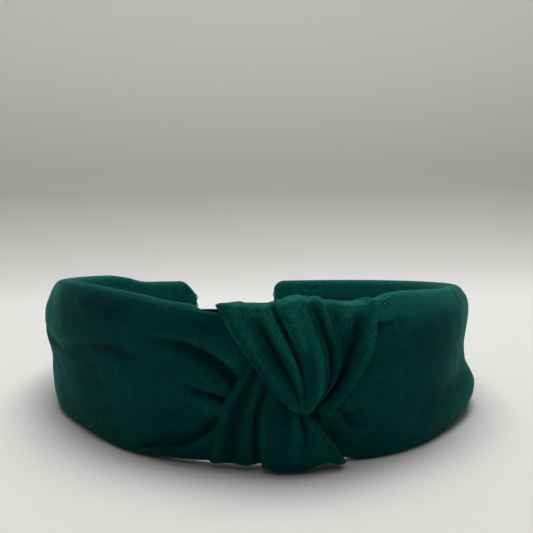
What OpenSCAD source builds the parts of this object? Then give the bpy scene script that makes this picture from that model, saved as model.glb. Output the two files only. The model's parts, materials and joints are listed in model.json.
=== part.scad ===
// Knotted headband: a springy C-shaped hoop in padded cloth sleeves, with a pleated knot at the crown.
// It lies on its lower edge, the knot towards -Y and the tips towards +Y. Millimetres.
// Angles along the hoop are measured from the crown: 0 at the knot, 90 where the hoop points sideways.

/* [Hoop] */
// Mid-line radius of the crown arc
crown_r = 57; // [47:1:69]
// Mid-line radius of the side arcs
side_r = 91; // [76:1:110]
// Mid-line radius of the rear arcs
rear_r = 56; // [47:1:68]
// Angle of the tips
tip_a = 168; // [160:1:172]
// Thickness of the plastic strip
core_t = 2; // [1.6:0.1:2.6]
// Width of the strip at the crown
core_w = 41.5; // [34:0.5:50]
// Width of the strip at the tips
tip_w = 19.3; // [16:0.1:24]
// Radius of the corners of the tips
tip_corner_r = 4; // [2:0.5:6]
// Running clearance round the rounded end of an arm
flex_clear = 0.08; // [0.05:0.01:0.1]

/* [Cloth] */
// Thickness of the folded crepe cloth
cloth_t = 0.8; // [0.6:0.1:1.2]
// Thickness of the foam on the outer face
foam_t = 3; // [2:0.5:5]
// Distance of the foam's edges from the strip's edges
foam_inset = 1; // [0.5:0.5:3]
// Clearance between neighbouring layers
layer_gap = 0.1; // [0.05:0.05:0.3]
// Room between the strip's edges and the cloth that turns over them
edge_room = 1.7; // [1:0.1:2.5]
// Half of the slot between cloth on the crown and cloth on an arm, as an angle
slot_a = 1.3; // [1.1:0.1:2]
// Padding height of the cloth gathered beside the knot
gather_t = 2.2; // [1.5:0.1:3]
// Depth by which the gathered cloth leaves the strip's top edge bare
bare_edge = 1; // [0.5:0.5:2]

/* [Knot] */
// Thickness of the folded cloth in front of the strip
knot_t = 8; // [6:0.5:10]
// Pleats of the upper loop
fan_pleats = 5; // [3:1:7]
// Pleats of the lower loop
lobe_pleats = 3; // [2:1:4]
// Height of a pleat
pleat_h = 1.5; // [0.8:0.1:2]
// Where the two loops pinch each other, above the table
pinch_z = 15.5; // [12:0.5:20]
// Half width of the upper loop at the top edge
fan_w = 21.5; // [16:0.5:24]
// Reach of the lower loop to the left at the table
lobe_left = 24; // [18:0.5:26]
// Reach of the lower loop to the right at the table
lobe_right = 13.5; // [10:0.5:18]
// Height where the lower loop comes out from under the upper one
lobe_z = 30; // [26:0.5:34]
// Clearance between the two loops and round them
loop_gap = 0.3; // [0.2:0.1:0.5]

/* [Lining and thread] */
// Width of the lining ribbon
ribbon_w = 15; // [10:1:16]
// Thickness of the lining ribbon
ribbon_t = 0.6; // [0.4:0.1:1]
// Distance from the ribbon's end to the tip, as an angle
ribbon_end_a = 4; // [2:1:8]
// Thickness of the sewing thread
thread_d = 0.5; // [0.3:0.1:0.8]
// Whip stitches that close each tip
tip_stitches = 5; // [3:1:7]
// Tacks along each edge of the ribbon behind the knot
crown_tacks = 4; // [2:1:6]
// Length of a tack
tack_l = 3; // [2:0.5:4]

/* [Hidden] */
$fn = 160;

// The arcs meet in the directions of a 3-4-5 and a 44-117-125 triangle, so their centres come out round,
// and so do the bending lines between the crown and the arms
crown_a = atan(4 / 3);
side_a = 90 + atan(44 / 117);
flex_a = atan(3 / 4);
// The unit vector from an arc's centre towards angle a
function dir(a) = [sin(a), -cos(a)];
side_c = (crown_r - side_r) * dir(crown_a);
rear_c = side_c + (side_r - rear_r) * dir(side_a);
// Each arc of the right half: its centre, radius, first and last angle
ARCS = [
    [[0, 0], crown_r, -crown_a, crown_a],
    [side_c, side_r, crown_a, side_a],
    [rear_c, rear_r, side_a, 180]
];
function rear_point(a, off) = rear_c + (rear_r + off) * dir(a);
function crown_point(a, off) = (crown_r + off) * dir(a);

// Layers, as distances outwards from the strip's mid-line
core_out = core_t / 2;
core_in = -core_t / 2;
foam_in = core_out + layer_gap;
foam_out = foam_in + foam_t;
sleeve_out = foam_out + layer_gap + cloth_t;
sleeve_in = core_in - layer_gap - cloth_t;
gather_out = foam_in + gather_t + cloth_t;
knot_out = core_out + knot_t;
lining_out = sleeve_in - layer_gap;
lining_in = lining_out - ribbon_t;

// Heights above the table, at the crown
core_z = cloth_t + edge_room;
core_top = core_z + core_w;
hoop_y = rear_point(tip_a, 0)[1];
slope = (core_w - tip_w) / (hoop_y + crown_r);
slope_a = atan(slope);
function top_at(y) = core_top - slope * (y + crown_r);
sleeve_rise = edge_room + cloth_t;
// The cavity of a sleeve ends this far past the tip, and its end wall is one cloth thick
end_a = tip_a + atan((layer_gap + cloth_t) / rear_r);

// The whole part is centred over the origin
front_y = -(crown_r + knot_out);
rear_y = rear_point(end_a, sleeve_out)[1];
centre_y = (front_y + rear_y) / 2;
big = 3 * (crown_r + side_r);
cut = 0.02;

// Colours
crepe = [0.02, 0.22, 0.17];
crepe_dark = [0.02, 0.16, 0.13];

module centred() { translate([0, -centre_y, 0]) children(); }

module left() { mirror([1, 0, 0]) children(); }

// The sector between two angles, as far as radius r
module sector(r, a0, a1) {
    steps = ceil((a1 - a0) / 20);
    polygon(concat([[0, 0]], [for (i = [0 : steps]) 2 * r * dir(a0 + (a1 - a0) * i / steps)]));
}

// A flat strip of the right half, between two distances from the mid-line and two angles
module strip(inner, outer, a0, a1) {
    for (arc = ARCS) {
        lo = max(a0, arc[2]);
        hi = min(a1, arc[3]);
        if (hi > lo) translate(arc[0]) intersection() {
            difference() {
                circle(arc[1] + outer);
                circle(arc[1] + inner);
            }
            sector(arc[1], lo, hi);
        }
    }
}

// All that lies under the sloping plane of the strip's top edge, raised by rise
module under_plane(rise) {
    translate([0, -crown_r, core_top + rise]) rotate([-slope_a, 0, 0])
        translate([-big / 2, -big / 2, -big]) cube([big, big, big]);
}

// An upright wall along the strip, from height z0 up to the sloping plane
module wall(inner, outer, a0, a1, z0, rise) {
    intersection() {
        translate([0, 0, z0]) linear_extrude(core_top + big / 10) strip(inner, outer, a0, a1);
        under_plane(rise);
    }
}

// What a rounded corner leaves over, at angle a of the rear arc and height z; up is 1 or -1
module corner_waste(a, z, up, r) {
    p = rear_point(a, 0);
    reach = sleeve_out - lining_in + 2;
    translate([p[0], p[1], z]) rotate([0, 0, a]) difference() {
        translate([-r, -reach, up > 0 ? -r : -1]) cube([r + 1, 2 * reach, r + 1]);
        translate([-r, 0, -up * r]) rotate([90, 0, 0]) cylinder(r = r, h = 2 * reach + 2, center = true);
    }
}

// The axis of the bending line on the right
module at_flex() {
    p = crown_point(flex_a, 0);
    translate([p[0], p[1], 0]) children();
}

module crown_core() {
    color("black") difference() {
        wall(core_in, core_out, -flex_a, flex_a, core_z, 0);
        for (side = [0, 1]) mirror([side, 0, 0]) at_flex()
            cylinder(r = core_t / 2 + flex_clear, h = core_top + 1);
    }
}

module arm_core() {
    color("black") difference() {
        union() {
            wall(core_in, core_out, flex_a, tip_a, core_z, 0);
            intersection() {
                at_flex() translate([0, 0, core_z]) cylinder(r = core_t / 2, h = core_top);
                under_plane(0);
            }
        }
        corner_waste(tip_a, core_z, -1, tip_corner_r);
        corner_waste(tip_a, top_at(hoop_y), 1, tip_corner_r);
    }
}

module arm_foam() {
    color("dimgray")
        wall(foam_in, foam_out, flex_a + slot_a, tip_a - 2, core_z + foam_inset, -foam_inset);
}

// A closed tube of cloth round the strip and the foam, shut at the tip
module arm_sleeve() {
    room = edge_room;
    color(crepe) difference() {
        wall(sleeve_in, sleeve_out, flex_a + slot_a, end_a, 0, sleeve_rise);
        wall(sleeve_in + cloth_t, sleeve_out - cloth_t, flex_a, tip_a + 0.1, cloth_t, room);
        corner_waste(end_a, 0, -1, tip_corner_r);
        corner_waste(end_a, top_at(hoop_y) + sleeve_rise, 1, tip_corner_r);
    }
}

// A quadratic curve from a to c, drawn towards b
function bend(a, b, c, t) = (1 - t) * (1 - t) * a + 2 * t * (1 - t) * b + t * t * c;

// The edges of the two loops seen from the front, from the strip's edge at t = 0 to the pinch at t = 1
fan_edges = [
    [[-fan_w, core_top + sleeve_rise], [-0.7 * fan_w, 0.6 * core_top], [0, pinch_z]],
    [[fan_w, core_top + sleeve_rise], [fan_w, 0.6 * core_top], [0.3 * fan_w, pinch_z - 1]]
];
lobe_edges = [
    [[-lobe_left, 0], [-0.8 * lobe_left, 0.7 * lobe_z], [-0.45 * lobe_left, lobe_z + 3]],
    [[lobe_right, 0], [0.6 * lobe_right, 0.7 * pinch_z], [0, pinch_z + 2]]
];

// The point a share f of the way from a loop's left edge to its right one
function across(edges, f, t) = (1 - f) * bend(edges[0][0], edges[0][1], edges[0][2], t)
    + f * bend(edges[1][0], edges[1][1], edges[1][2], t);

// A gore of a loop, between two shares of its width, as far as t; out is 1 upwards and -1 downwards
function gore(edges, f0, f1, last, out, grow = 0) = concat(
    [across(edges, f0, 0) + [-grow, out * big]],
    [for (i = [0 : 8]) across(edges, f0, last * i / 8) + [-grow, 0]],
    [for (i = [8 : -1 : 0]) across(edges, f1, last * i / 8) + [grow, -out * grow]],
    [across(edges, f1, 0) + [grow, out * big]]
);

// A block through the front of the hoop with a given outline
module through_front(outline) {
    rotate([90, 0, 0]) linear_extrude(big) polygon(outline);
}

// The strip with room round it, which each loop of the knot closes over
module strip_room() {
    room = layer_gap;
    wall(core_in - room, core_out + room, -flex_a, flex_a, core_z - room, room);
}

// The front and back cloth of a loop: a thinner gore with pleats standing on it
module loop_body(edges, pleats, out, z0, rise) {
    intersection() {
        wall(sleeve_in, knot_out - pleat_h, -flex_a, flex_a, z0, rise);
        through_front(gore(edges, 0, 1, 1, out));
    }
    intersection() {
        wall(core_out, knot_out, -flex_a, flex_a, z0, rise);
        for (i = [0 : pleats - 1])
            through_front(gore(edges, (i + 0.1) / pleats, (i + 0.9) / pleats, 0.8, out));
    }
}

module knot_upper_loop() {
    color(crepe) difference() {
        loop_body(fan_edges, fan_pleats, 1, 0, sleeve_rise);
        strip_room();
    }
}

module knot_lower_loop() {
    color(crepe_dark) difference() {
        loop_body(lobe_edges, lobe_pleats, -1, cloth_t, 0);
        through_front(gore(fan_edges, 0, 1, 1, 1, loop_gap));
        strip_room();
    }
}

// Cloth gathered between a sleeve and the knot; side is 1 on the right and -1 on the left
module gather(side) {
    color(crepe) difference() {
        mirror([side < 0 ? 1 : 0, 0, 0])
            wall(sleeve_in, gather_out, flex_a / 6, flex_a - slot_a, cloth_t, -bare_edge);
        strip_room();
        through_front(gore(fan_edges, 0, 1, 1, 1, loop_gap));
        through_front(gore(lobe_edges, 0, 1, 1, -1, loop_gap));
    }
}

// A slab between two sloping planes, along the middle of the strip
module ribbon_slab() {
    middle = core_z + core_w / 2;
    translate([0, -crown_r, middle]) rotate([-slope_a / 2, 0, 0])
        translate([-big / 2, -big / 2, -ribbon_w / 2]) cube([big, big, ribbon_w]);
}

module crown_lining() {
    color(crepe_dark) intersection() {
        linear_extrude(core_top) strip(lining_in, lining_out, slot_a - flex_a, flex_a - slot_a);
        ribbon_slab();
    }
}

module arm_lining() {
    color(crepe_dark) intersection() {
        linear_extrude(core_top) strip(lining_in, lining_out, flex_a + slot_a, tip_a - ribbon_end_a);
        ribbon_slab();
    }
}

// Short bars of thread across both edges of the ribbon, behind the knot
module crown_tacks() {
    span = 2 * fan_w / 3;
    mid = core_z + core_w / 2;
    color(crepe_dark) for (row = [-1, 1], i = [0 : crown_tacks - 1]) {
        a = (i / (crown_tacks - 1) - 0.5) * 2 * span / crown_r * 180 / PI;
        p = crown_point(a, lining_in - layer_gap - thread_d / 2);
        translate([p[0], p[1], mid + row * ribbon_w / 2])
            cylinder(d = thread_d, h = tack_l, center = true, $fn = 24);
    }
}

// Whip stitches across the closed end of a sleeve
module arm_tip_stitches() {
    p = rear_point(end_a, 0);
    low = 1.5 * tip_corner_r;
    high = top_at(hoop_y) + sleeve_rise - 1.5 * tip_corner_r;
    length = sleeve_out - sleeve_in - 1;
    color(crepe_dark) for (i = [0 : tip_stitches - 1])
        translate([p[0], p[1], low + (high - low) * i / (tip_stitches - 1)]) rotate([0, 0, end_a])
            translate([layer_gap + thread_d / 2, -(sleeve_out + sleeve_in) / 2, 0]) rotate([90, 0, 0])
                cylinder(d = thread_d, h = length, center = true, $fn = 24);
}

centred() crown_core();
centred() left() arm_core();  // left_core
centred() arm_core();  // right_core
centred() left() arm_foam();  // left_foam
centred() arm_foam();  // right_foam
centred() left() arm_sleeve();  // left_sleeve
centred() arm_sleeve();  // right_sleeve
centred() gather(-1);  // left_gather
centred() gather(1);  // right_gather
centred() knot_upper_loop();
centred() knot_lower_loop();
centred() crown_lining();
centred() left() arm_lining();  // left_lining
centred() arm_lining();  // right_lining
centred() crown_tacks();
centred() left() arm_tip_stitches();  // left_tip_stitches
centred() arm_tip_stitches();  // right_tip_stitches
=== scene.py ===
"""A knotted headband of brushed crepe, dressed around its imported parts.

The hoop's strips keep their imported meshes. The sleeves, the two loops of the knot, the foam pads,
the lining ribbon and the thread are made here, each in the place of its plain solid. Lengths are in
millimetres until a mesh is made.
"""

import json
import logging
import math
from dataclasses import dataclass, field
from enum import Enum
from typing import Iterable, Sequence, Union

import bmesh
import bpy
import numpy as np
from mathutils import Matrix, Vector

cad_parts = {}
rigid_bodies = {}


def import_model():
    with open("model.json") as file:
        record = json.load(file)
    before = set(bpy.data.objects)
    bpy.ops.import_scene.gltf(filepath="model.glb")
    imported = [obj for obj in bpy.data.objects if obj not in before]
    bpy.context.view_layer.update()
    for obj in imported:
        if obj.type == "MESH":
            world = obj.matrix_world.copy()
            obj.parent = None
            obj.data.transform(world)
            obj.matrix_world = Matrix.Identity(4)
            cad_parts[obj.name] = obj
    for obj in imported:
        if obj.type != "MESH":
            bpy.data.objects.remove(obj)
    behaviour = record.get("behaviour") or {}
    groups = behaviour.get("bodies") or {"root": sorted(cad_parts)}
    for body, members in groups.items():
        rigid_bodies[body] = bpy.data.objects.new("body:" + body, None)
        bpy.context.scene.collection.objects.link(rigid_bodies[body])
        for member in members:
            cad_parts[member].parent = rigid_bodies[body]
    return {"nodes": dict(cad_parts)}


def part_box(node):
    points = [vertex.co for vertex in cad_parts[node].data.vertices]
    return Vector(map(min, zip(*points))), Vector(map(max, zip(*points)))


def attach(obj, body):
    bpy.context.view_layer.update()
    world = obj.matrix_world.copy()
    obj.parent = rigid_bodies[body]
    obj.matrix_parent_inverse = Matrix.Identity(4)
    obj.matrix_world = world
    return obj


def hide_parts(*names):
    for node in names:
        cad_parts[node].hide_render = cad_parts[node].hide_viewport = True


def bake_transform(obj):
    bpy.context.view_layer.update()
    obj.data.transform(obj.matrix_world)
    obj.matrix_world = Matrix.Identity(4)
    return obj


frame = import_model()

LOG = logging.getLogger("headband")
MM = 0.001
# A UV unit is a tenth of a metre of cloth.
UV_SCALE = 0.01
# The height above the cloth around it at which a crest counts in full as painted highlight, and the
# depth at which a hollow counts in full as painted shade.
RELIEF_FULL = 0.55
# How far the cloth's tip goes past the strip's end.
TIP_BEYOND = 1.3
# Between these heights the tip's slant sets in.
CUT_BACK = (17.5, 25.0)
# Half the way along the strip on each side of the bending line, and a height, for the places that
# bend works out.
BEND_HALF = 7.0
BEND_HEIGHT = 20.0
# The rows of a loop's turn over the strip's edge, and of its tail behind it.
TURN_ROWS = 26
TAIL_ROWS = 24

Array = np.ndarray
Colour = tuple[float, float, float, float]
Point = tuple[float, float, float]
Face = tuple[int, ...]


class Side(Enum):
    """The two arms of the hoop, as the sign of their X."""

    LEFT = -1
    RIGHT = 1

    @property
    def word(self) -> str:
        """The side's name as the parts spell it."""
        return self.name.lower()


class Turn(Enum):
    """What the cloth of a loop does at a line."""

    PASS = "pass"
    HEM_IN = "hem_in"
    HEM_OUT = "hem_out"
    CREASE = "crease"
    STEP_UP = "step_up"
    STEP_DOWN = "step_down"


# ---------------------------------------------------------------- curves


def smoothstep(low: float, high: float, value: Array) -> Array:
    """Eases from 0 at low to 1 at high.

    Args:
        low: The value that gives 0.
        high: The value that gives 1; it may be the smaller one.
        value: The values to ease.

    Returns:
        The eased values.
    """
    t = np.clip((np.asarray(value, float) - low) / (high - low), 0.0, 1.0)
    return t * t * (3.0 - 2.0 * t)


def through(stops: Sequence[float], values: Sequence[float], at: Array) -> Array:
    """A smooth curve through values at stops, without overshoot between them.

    Args:
        stops: Where the values hold, rising.
        values: The value at each stop.
        at: Where to read the curve.

    Returns:
        The curve's values.
    """
    x, y = np.asarray(stops, float), np.asarray(values, float)
    step = np.diff(y) / np.diff(x)
    slope = np.concatenate([[step[0]], (step[:-1] + step[1:]) / 2, [step[-1]]])
    flat = np.concatenate([[False], step[:-1] * step[1:] <= 0, [False]])
    slope[flat] = 0.0
    at = np.clip(np.asarray(at, float), x[0], x[-1])
    i = np.clip(np.searchsorted(x, at, side="right") - 1, 0, len(x) - 2)
    width = x[i + 1] - x[i]
    t = (at - x[i]) / width
    a, b = 2 * t**3 - 3 * t**2 + 1, t**3 - 2 * t**2 + t
    c, d = -2 * t**3 + 3 * t**2, t**3 - t**2
    return a * y[i] + b * width * slope[i] + c * y[i + 1] + d * width * slope[i + 1]


def spline(chain: Array, per_span: Union[int, Sequence[int]], before: Array, after: Array) -> Array:
    """Rows of centripetal Catmull-Rom curves, one through each row of points.

    Args:
        chain: Points, rows by points by coordinates.
        per_span: How many points to give each span, or one number for them all.
        before: The point before each row's first one.
        after: The point after each row's last one.

    Returns:
        The points of the curves, rows by samples by coordinates.
    """
    p = np.concatenate([before[:, None], chain, after[:, None]], axis=1)
    gap = np.sqrt(np.linalg.norm(np.diff(p, axis=1), axis=2)) + 1e-3
    counts = [per_span] * (chain.shape[1] - 1) if isinstance(per_span, int) else list(per_span)
    made = []
    for k in range(1, chain.shape[1]):
        p0, p1, p2, p3 = (p[:, k - 1 + j] for j in range(4))
        g0, g1, g2 = (gap[:, k - 1 + j][:, None] for j in range(3))
        for n in range(counts[k - 1]):
            u = g1 * n / counts[k - 1]
            a1 = p0 * (-u / g0) + p1 * ((u + g0) / g0)
            a2 = p1 * ((g1 - u) / g1) + p2 * (u / g1)
            a3 = p2 * ((g1 + g2 - u) / g2) + p3 * ((u - g1) / g2)
            b1 = a1 * ((g1 - u) / (g0 + g1)) + a2 * ((u + g0) / (g0 + g1))
            b2 = a2 * ((g1 + g2 - u) / (g1 + g2)) + a3 * (u / (g1 + g2))
            made.append(b1 * ((g1 - u) / g1) + b2 * (u / g1))
    made.append(chain[:, -1])
    return np.stack(made, axis=1)


def ripple(a: Array, b: Array, seed: int, waves: int = 7) -> Array:
    """A soft uneven surface, a sum of slanted waves, from about -1 to 1.

    Args:
        a: The first coordinate, in wavelengths.
        b: The second coordinate, in wavelengths.
        seed: Which unevenness to make.
        waves: How many waves to add.

    Returns:
        The height at each place.
    """
    draw = np.random.default_rng(seed)
    total = np.zeros(np.broadcast(a, b).shape)
    for _ in range(waves):
        turn, phase = draw.uniform(0, math.tau, 2)
        stretch = draw.uniform(0.6, 1.6)
        total += np.sin(math.tau * stretch * (a * math.cos(turn) + b * math.sin(turn)) + phase)
    return total / math.sqrt(2 * waves)


def travelled(steps: Array) -> Array:
    """The distance gone after each of some steps, from zero."""
    return np.concatenate([[0.0], np.cumsum(steps)])


# ---------------------------------------------------------------- the hoop


@dataclass(frozen=True)
class Hoop:
    """The line and edges of the hoop's strip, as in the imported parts.

    A place along the strip is its distance from the crown, less than zero on the left. A place off
    it is the distance outwards from its mid-line.
    """

    crown_r: float = 57.0
    side_r: float = 91.0
    rear_r: float = 56.0
    crown_a: float = math.atan2(4, 3)
    side_a: float = math.pi / 2 + math.atan2(44, 117)
    tip_a: float = math.radians(168.0)
    thickness: float = 2.0
    low_edge: float = 2.5
    width: float = 41.5
    tip_width: float = 19.3
    flex_a: float = math.atan2(3, 4)
    shift_y: float = field(default_factory=lambda: -58.0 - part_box("crown_core")[0].y / MM)

    @property
    def joins(self) -> tuple[float, float, float]:
        """Where the arcs end, along the strip."""
        first = self.crown_r * self.crown_a
        second = first + self.side_r * (self.side_a - self.crown_a)
        return first, second, second + self.rear_r * (self.tip_a - self.side_a)

    @property
    def length(self) -> float:
        """From the crown to a tip."""
        return self.joins[2]

    @property
    def flex(self) -> float:
        """From the crown to a bending line."""
        return self.crown_r * self.flex_a

    def bend(self, piece: bpy.types.Object, side: Side) -> None:
        """Bakes a piece's place into its mesh; the places it works out beside the bending line go
        unused.
        """
        mirror = [side.value * MM, MM, MM]
        start, end = (
            tuple(self.place(np.array(self.flex + step), 0.0, BEND_HEIGHT) * mirror)
            for step in (-BEND_HALF, BEND_HALF)
        )
        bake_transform(piece)

    def centres(self) -> tuple[Array, Array]:
        """The centres of the right side and rear arcs, from that of the crown arc."""

        def heading(angle: float) -> Array:
            """The direction of an angle in the plan."""
            return np.array([math.sin(angle), -math.cos(angle)])

        side = (self.crown_r - self.side_r) * heading(self.crown_a)
        return side, side + (self.side_r - self.rear_r) * heading(self.side_a)

    def place(self, along: Array, off: Array, z: Array) -> Array:
        """Points beside the strip.

        Args:
            along: Distances from the crown.
            off: Distances outwards.
            z: Heights.

        Returns:
            The points, with one more axis for X, Y and Z.
        """
        along, off, z = np.broadcast_arrays(along, off, z)
        s, sign = np.abs(along), np.where(along < 0, -1.0, 1.0)
        first, second, _ = self.joins
        side, rear = self.centres()

        def by_arc(crown: Array, flank: Array, back: Array) -> Array:
            """The value of the arc that each place is on."""
            return np.where(s < first, crown, np.where(s < second, flank, back))

        angle = by_arc(
            s / self.crown_r,
            self.crown_a + (s - first) / self.side_r,
            self.side_a + (s - second) / self.rear_r,
        )
        radius = by_arc(self.crown_r, self.side_r, self.rear_r) + off
        cx, cy = by_arc(0.0, side[0], rear[0]), by_arc(0.0, side[1], rear[1])
        x = cx + radius * np.sin(angle)
        y = cy - radius * np.cos(angle)
        return np.stack([sign * x, y - self.shift_y, z], axis=-1)

    def top(self, along: Array) -> Array:
        """The height of the strip's upper edge at places along it."""
        y = self.place(along, np.zeros_like(along), np.zeros_like(along))[..., 1] + self.shift_y
        tip_y = self.centres()[1][1] - self.rear_r * math.cos(self.tip_a)
        slope = (self.width - self.tip_width) / (tip_y + self.crown_r)
        return self.low_edge + self.width - slope * (y + self.crown_r)


# ---------------------------------------------------------------- meshes


def cloth_grid(
    name: str, points: Array, along: Array, across: Array, flip: bool = False
) -> bpy.types.Object:
    """A grid of points made a mesh, with the cloth's own distances as its UV map.

    Args:
        name: The piece's name.
        points: Rows by columns by X, Y and Z, in millimetres.
        along: Each row's distance along the cloth.
        across: Each column's distance across the cloth.
        flip: Whether the faces are turned over.

    Returns:
        The new object, in the scene.
    """
    rows, cols = points.shape[:2]
    index = np.arange(rows * cols).reshape(rows, cols)
    corners = [index[:-1, :-1], index[:-1, 1:], index[1:, 1:], index[1:, :-1]]
    quads = np.stack(corners, axis=-1).reshape(-1, 4)
    if flip:
        quads = quads[:, ::-1]
    mesh = bpy.data.meshes.new(name)
    mesh.from_pydata((points.reshape(-1, 3) * MM).tolist(), [], quads.tolist())
    uv = np.stack(np.broadcast_arrays(along[:, None], across[None, :]), axis=-1)
    uv = uv.reshape(-1, 2) * UV_SCALE
    layer = mesh.uv_layers.new(name="cloth")
    layer.data.foreach_set("uv", uv[quads.ravel()].astype(np.float32).ravel())
    mesh.update()
    obj = bpy.data.objects.new(name, mesh)
    bpy.context.scene.collection.objects.link(obj)
    return obj


def relief(off: Array, rounds: int, turned: bool = False) -> Array:
    """How far each point of a grid lies below or above the cloth around it.

    Args:
        off: The grid's distances off the hoop's mid-line.
        rounds: How many times the neighbours are averaged.
        turned: Whether the columns join up.

    Returns:
        From -1 in a hollow to 1 on a crest.
    """
    soft = off.copy()
    for _ in range(rounds):
        wide = np.pad(soft, ((1, 1), (0, 0)), mode="edge")
        wide = np.pad(wide, ((0, 0), (1, 1)), mode="wrap" if turned else "edge")
        rows, cols = wide[:-2, 1:-1] + wide[2:, 1:-1], wide[1:-1, :-2] + wide[1:-1, 2:]
        soft = (rows + cols + 2 * wide[1:-1, 1:-1]) / 6
    return np.clip((off - soft) / RELIEF_FULL, -1.0, 1.0)


def mark(obj: bpy.types.Object, values: Array) -> None:
    """Keeps a number from -1 to 1 at each point of a mesh, as painted shade below zero and painted
    highlight above, for its finish to read.
    """
    layer = obj.data.color_attributes.new(name="relief", type="FLOAT_COLOR", domain="POINT")
    grey = np.clip(values.reshape(-1) * 0.5 + 0.5, 0.0, 1.0)
    layer.data.foreach_set("color", np.repeat(grey, 4).astype(np.float32))


def alone(obj: bpy.types.Object) -> None:
    """Selects one object and nothing else."""
    for other in bpy.context.view_layer.objects:
        other.select_set(False)
    obj.select_set(True)
    bpy.context.view_layer.objects.active = obj


def weld(obj: bpy.types.Object, distance: float) -> None:
    """Joins the points of a mesh that are closer than a distance in millimetres."""
    work = bmesh.new()
    work.from_mesh(obj.data)
    bmesh.ops.remove_doubles(work, verts=work.verts, dist=distance * MM)
    bmesh.ops.dissolve_degenerate(work, edges=work.edges, dist=1e-7)
    work.to_mesh(obj.data)
    work.free()
    obj.data.update()


def smooth(obj: bpy.types.Object) -> None:
    """Shades every face of a piece smooth."""
    for face in obj.data.polygons:
        face.use_smooth = True


def thicken(obj: bpy.types.Object, thickness: float) -> None:
    """Gives a sheet its thickness, half on each side, and smooths its shading.

    Args:
        obj: The sheet.
        thickness: In millimetres.
    """
    alone(obj)
    solid = obj.modifiers.new("thickness", "SOLIDIFY")
    solid.thickness = thickness * MM
    solid.offset = 0.0
    solid.use_even_offset = False
    solid.use_rim = True
    bpy.ops.object.modifier_apply(modifier=solid.name)
    smooth(obj)


def finish_piece(obj: bpy.types.Object, look: bpy.types.Material) -> None:
    """Gives a piece its finish, in place of any material it had.

    Args:
        obj: The piece.
        look: Its material.
    """
    obj.data.materials.clear()
    obj.data.materials.append(look)


# ---------------------------------------------------------------- finishes

Number = Union[float, "Value"]


class Value:
    """A node's output as a value that can be added, multiplied and so on."""

    def __init__(self, book: "NodeBook", socket: bpy.types.NodeSocket) -> None:
        """Keeps the socket and the tree it belongs to."""
        self.book = book
        self.socket = socket

    def _math(self, operation: str, *values: Number) -> "Value":
        """A Math node on some values."""
        return self.book.node("ShaderNodeMath", {"operation": operation}, dict(enumerate(values)))

    def __add__(self, other: Number) -> "Value":
        """self + other"""
        return self._math("ADD", self, other)

    def __radd__(self, other: Number) -> "Value":
        """other + self"""
        return self._math("ADD", other, self)

    def __sub__(self, other: Number) -> "Value":
        """self - other"""
        return self._math("SUBTRACT", self, other)

    def __rsub__(self, other: Number) -> "Value":
        """other - self"""
        return self._math("SUBTRACT", other, self)

    def __mul__(self, other: Number) -> "Value":
        """self * other"""
        return self._math("MULTIPLY", self, other)

    def __rmul__(self, other: Number) -> "Value":
        """other * self"""
        return self._math("MULTIPLY", other, self)

    def __truediv__(self, other: Number) -> "Value":
        """self / other"""
        return self._math("DIVIDE", self, other)

    def sine(self) -> "Value":
        """The sine of the value."""
        return self._math("SINE", self)

    def clamp(self) -> "Value":
        """The value held between 0 and 1."""
        return self._math("MINIMUM", self._math("MAXIMUM", self, 0.0), 1.0)


class NodeBook:
    """A new material and the means to fill its tree."""

    def __init__(self, name: str) -> None:
        """Makes an empty material with that name."""
        self.material = bpy.data.materials.new(name)
        self.material.use_nodes = True
        self.tree = self.material.node_tree
        self.tree.nodes.clear()

    def node(
        self,
        kind: str,
        settings: dict[str, object],
        sockets: dict[Union[int, str], object],
        output: Union[int, str, None] = 0,
    ) -> Union[Value, None]:
        """Adds one node.

        Args:
            kind: The node's type.
            settings: Its settings, set first.
            sockets: The values or links of its sockets.
            output: Which output to return, or None for a node that has none.

        Returns:
            That output.
        """
        made = self.tree.nodes.new(kind)
        for name, value in settings.items():
            setattr(made, name, value)
        for name, value in sockets.items():
            if isinstance(value, Value):
                self.tree.links.new(value.socket, made.inputs[name])
            else:
                made.inputs[name].default_value = value
        return None if output is None else Value(self, made.outputs[output])

    def place(self) -> Value:
        """Object coordinates, in metres."""
        return self.node("ShaderNodeTexCoord", {}, {}, "Object")

    def cloth(self) -> Value:
        """The cloth's own distances, along and across, in tenths of a metre."""
        return self.node("ShaderNodeUVMap", {"uv_map": "cloth"}, {})

    def noise(
        self, where: Value, scale: float, detail: float = 2.0, roughness: float = 0.5
    ) -> Value:
        """Noise from 0 to 1 with that many cells to the unit."""
        sockets = {"Vector": where, "Scale": scale, "Detail": detail, "Roughness": roughness}
        return self.node("ShaderNodeTexNoise", {}, sockets)

    def mix(self, share: Number, a: object, b: object) -> Value:
        """A colour between a and b."""
        return self.node("ShaderNodeMix", {"data_type": "RGBA"}, {0: share, 6: a, 7: b}, 2)

    def bump(self, height: Value, strength: float, distance: float) -> Value:
        """A bump of a height, with its distance in millimetres."""
        sockets = {"Height": height, "Strength": strength, "Distance": distance * MM}
        return self.node("ShaderNodeBump", {}, sockets)

    def close(self, **sockets: object) -> bpy.types.Material:
        """Adds the shader and the output, and returns the material.

        Args:
            sockets: The shader's sockets, with underscores for spaces.

        Returns:
            The finished material.
        """
        named = {name.replace("_", " "): value for name, value in sockets.items()}
        shader = self.node("ShaderNodeBsdfPrincipled", {}, named)
        self.node("ShaderNodeOutputMaterial", {}, {"Surface": shader}, None)
        return self.material


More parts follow.
